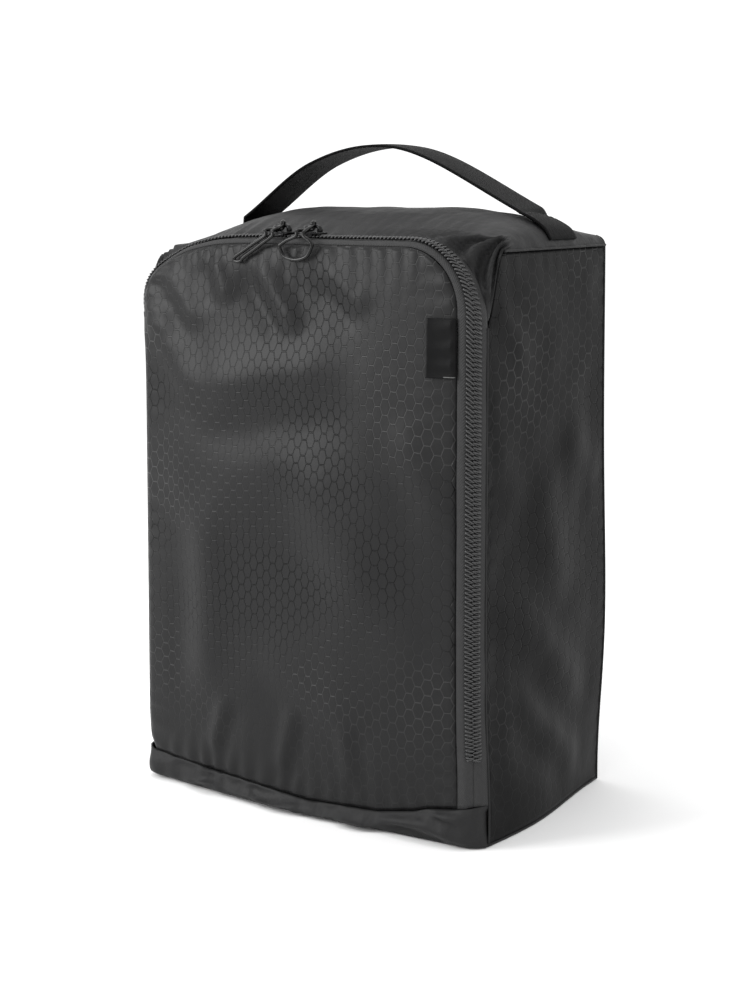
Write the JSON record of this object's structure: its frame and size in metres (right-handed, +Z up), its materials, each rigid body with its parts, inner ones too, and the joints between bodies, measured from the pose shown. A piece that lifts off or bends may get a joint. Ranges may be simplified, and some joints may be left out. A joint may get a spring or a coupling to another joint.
{
  "type": "shoe bag",
  "caption": "Upright soft bag for a pair of shoes: box-shaped fabric body, front flap closed by a U-shaped coil zip with paired sliders and cord pulls, webbing carry handle on top.",
  "frame": {"origin": "on the surface the bag stands on, at the middle of the box's width and depth", "axes": "+Z up, the zipped front faces -Y, +X to the right seen from the front"},
  "size_m": [0.26, 0.1689, 0.4174],
  "materials": {
    "honeycomb_fabric": "coated nylon embossed with a small honeycomb, satin",
    "plain_fabric": "plain woven coated nylon, satin, softly wrinkled",
    "lining_fabric": "thin plain lining taffeta",
    "zip_tape": "woven polyester zip tape, matt",
    "zip_coil": "nylon coil, satin to glossy",
    "slider_metal": "black lacquered die-cast, glossy",
    "pull_cord": "glossy black coated cord",
    "webbing": "flat woven webbing, matt",
    "label_cloth": "blank woven satin tab",
    "binding_tape": "woven grosgrain binding"
  },
  "bodies": {
    "shell": {"back_panel": "honeycomb_fabric", "left_side_panel": "honeycomb_fabric", "right_side_panel": "honeycomb_fabric", "top_panel": "plain_fabric", "bottom_panel": "plain_fabric", "back_lining": "lining_fabric", "left_side_lining": "lining_fabric", "right_side_lining": "lining_fabric", "top_lining": "lining_fabric", "bottom_lining": "lining_fabric", "body_zip_tape": "zip_tape", "body_zip_coil": "zip_coil", "left_zip_stop": "slider_metal", "right_zip_stop": "slider_metal", "left_seam_binding": "binding_tape", "right_seam_binding": "binding_tape", "left_handle_end": "webbing", "right_handle_end": "webbing"},
    "flap": {"flap_panel": "honeycomb_fabric", "flap_lining": "lining_fabric", "flap_zip_tape": "zip_tape", "flap_zip_coil": "zip_coil", "blank_label": "label_cloth"},
    "left_slider": {"left_slider_body": "slider_metal", "left_slider_bridge": "slider_metal"},
    "right_slider": {"right_slider_body": "slider_metal", "right_slider_bridge": "slider_metal"},
    "left_pull": {"left_pull": "pull_cord"},
    "right_pull": {"right_pull": "pull_cord"},
    "handle": {"handle_webbing": "webbing"}
  },
  "joints": [
    {"name": "flap_hinge", "type": "hinge", "parent": "shell", "child": "flap", "pos_m": [0, -0.08, 0.018], "axis": [1, 0, 0], "range_deg": [0, 92]},
    {"name": "left_slider_slide", "type": "slide", "parent": "flap", "child": "left_slider", "axis": [-1, 0, 0], "range_m": [-0.002, 0.032]},
    {"name": "right_slider_slide", "type": "slide", "parent": "flap", "child": "right_slider", "axis": [1, 0, 0], "range_m": [-0.002, 0.06]},
    {"name": "left_pull_swing", "type": "hinge", "parent": "left_slider", "child": "left_pull", "pos_m": [-0.015, -0.07182, 0.3678], "axis": [-1, 0, 0], "range_deg": [0, 150]},
    {"name": "right_pull_swing", "type": "hinge", "parent": "right_slider", "child": "right_pull", "pos_m": [0.008, -0.07182, 0.3678], "axis": [-1, 0, 0], "range_deg": [0, 150]},
    {"name": "handle_swing", "type": "hinge", "parent": "shell", "child": "handle", "pos_m": [0, 0.024, 0.37706], "axis": [1, 0, 0], "range_deg": [-50, 50], "stiffness_Nm_per_rad": 0.02}
  ]
}
